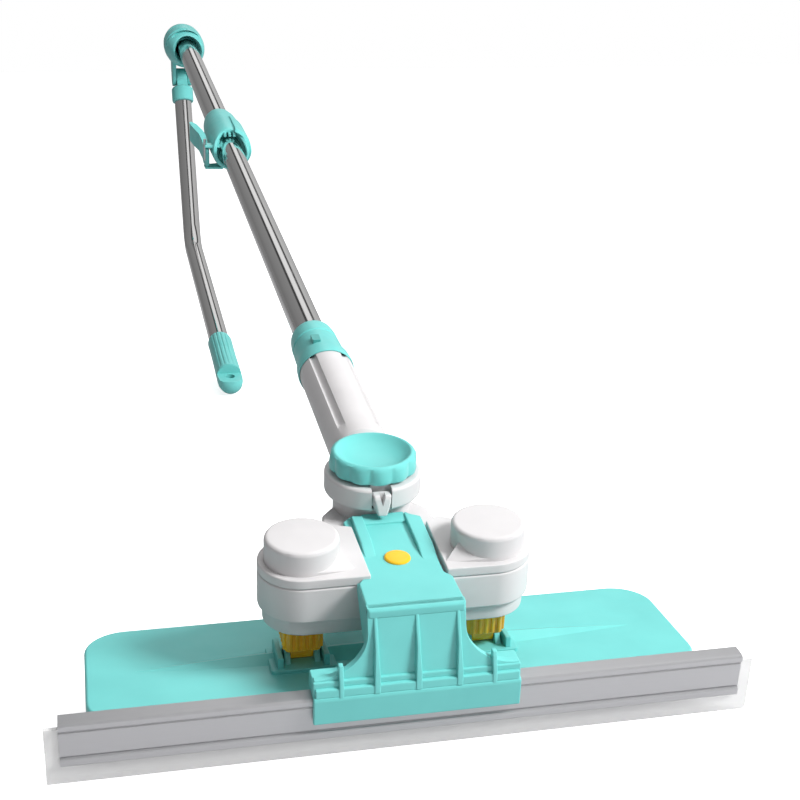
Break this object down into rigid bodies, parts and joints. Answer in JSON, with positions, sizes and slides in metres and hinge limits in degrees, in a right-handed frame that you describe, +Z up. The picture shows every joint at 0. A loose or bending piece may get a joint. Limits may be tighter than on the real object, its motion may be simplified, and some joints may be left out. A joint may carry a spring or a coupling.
{
  "type": "telescopic window mop",
  "caption": "Long-reach window mop: sprung turquoise mop plate and squeegee on a swivel head, telescopic steel pole, folding U-shaped handle rod.",
  "frame": {"origin": "centre of the bounding box's footprint, on the floor under the tool as it lies on its blade and grip", "axes": "+Z up; +X along the squeegee, to the right seen from the squeegee's front; +Y from the squeegee towards the elbow. The tool frame leans 11.33 degrees about X, so the pole rises towards +Y"},
  "size_m": [0.364, 1.3866, 0.3841],
  "materials": {
    "teal_plastic": "satin turquoise injection-moulded plastic",
    "grey_plastic": "satin pale warm-grey injection-moulded plastic",
    "amber_plastic": "glossy amber plastic, slightly see-through",
    "bright_steel": "bright polished stainless tube",
    "aluminium": "satin drawn aluminium",
    "blade_rubber": "milky soft rubber",
    "steel_screws": "plain zinc-plated steel",
    "spring_steel": "drawn spring wire",
    "brass": "turned brass",
    "dark_plastic": "dark grey acetal",
    "dark_foam": "fine closed-cell foam sheet",
    "hook_tape": "hook tape with fine nylon hooks"
  },
  "bodies": {
    "head": {"squeegee_channel": "aluminium", "squeegee_blade": "blade_rubber", "squeegee_bracket": "teal_plastic", "clamp_screws": "steel_screws", "button_spring": "spring_steel", "body_upper_shell": "grey_plastic", "body_lower_shell": "grey_plastic", "body_screws": "steel_screws", "left_spring_cover": "grey_plastic", "right_spring_cover": "grey_plastic", "left_suspension_spring": "spring_steel", "right_suspension_spring": "spring_steel", "slip_washer": "dark_plastic", "swivel_bolt": "steel_screws"},
    "button": {"release_button": "amber_plastic"},
    "knob": {"locking_knob": "teal_plastic", "knob_nut": "brass"},
    "latch": {"thumb_latch": "grey_plastic"},
    "plungers": {"left_plunger": "amber_plastic", "right_plunger": "amber_plastic"},
    "plate": {"mop_plate": "teal_plastic", "foam_backing": "dark_foam", "hook_strips": "hook_tape", "foot_pins": "steel_screws"},
    "handle": {"swivel_ring": "grey_plastic", "latch_pin": "steel_screws", "handle_sleeve": "grey_plastic", "sleeve_collar": "teal_plastic", "lower_tube": "bright_steel", "tube_bush": "dark_plastic"},
    "snap": {"snap_button": "teal_plastic"},
    "outer_pole": {"upper_tube": "bright_steel", "pole_clamp": "teal_plastic", "clamp_pin": "steel_screws", "elbow_hood": "teal_plastic", "fold_pin": "steel_screws"},
    "lever": {"clamp_lever": "teal_plastic"},
    "handle_rod": {"folding_link": "teal_plastic", "bent_rod": "bright_steel", "grip": "teal_plastic", "grip_end_cap": "teal_plastic"}
  },
  "joints": [
    {"name": "head_swivel", "type": "hinge", "parent": "head", "child": "handle", "pos_m": [0, -0.57939, 0.11263], "axis": [0, -0.1965, 0.9805], "range_deg": [-90, 90]},
    {"name": "knob_turn", "type": "hinge", "parent": "head", "child": "knob", "pos_m": [0, -0.58077, 0.11949], "axis": [0, -0.1965, 0.9805], "range_deg": [0, 180]},
    {"name": "latch_flip", "type": "hinge", "parent": "handle", "child": "latch", "pos_m": [0, -0.60243, 0.10801], "axis": [-1, 0, 0], "range_deg": [0, 25], "stiffness_Nm_per_rad": 0.05, "springref_deg": -20.05},
    {"name": "button_press", "type": "slide", "parent": "head", "child": "button", "axis": [0, 0.1965, -0.9805], "range_m": [0, 0.003], "stiffness_N_per_m": 400, "springref_m": -0.004, "deforming": ["button_spring"]},
    {"name": "plunger_press", "type": "slide", "parent": "head", "child": "plungers", "axis": [0, -0.1965, 0.9805], "range_m": [0, 0.006], "stiffness_N_per_m": 1600, "springref_m": -0.012, "deforming": ["left_suspension_spring", "right_suspension_spring"]},
    {"name": "plate_tilt", "type": "hinge", "parent": "plungers", "child": "plate", "pos_m": [0, -0.62731, 0.03622], "axis": [1, 0, 0], "range_deg": [-10, 10], "stiffness_Nm_per_rad": 1},
    {"name": "snap_press", "type": "slide", "parent": "handle", "child": "snap", "axis": [0, 0.1965, -0.9805], "range_m": [0, 0.002], "stiffness_N_per_m": 400, "springref_m": -0.003},
    {"name": "telescope", "type": "slide", "parent": "handle", "child": "outer_pole", "axis": [0, 0.9805, 0.1965], "range_m": [-0.32, 0.09]},
    {"name": "lever_flip", "type": "hinge", "parent": "outer_pole", "child": "lever", "pos_m": [-0.025, 0.12265, 0.2533], "axis": [0, -0.1965, 0.9805], "range_deg": [0, 95]},
    {"name": "rod_fold", "type": "hinge", "parent": "outer_pole", "child": "handle_rod", "pos_m": [-0.007, 0.65038, 0.31723], "axis": [1, 0, 0], "range_deg": [-18, 90]}
  ]
}
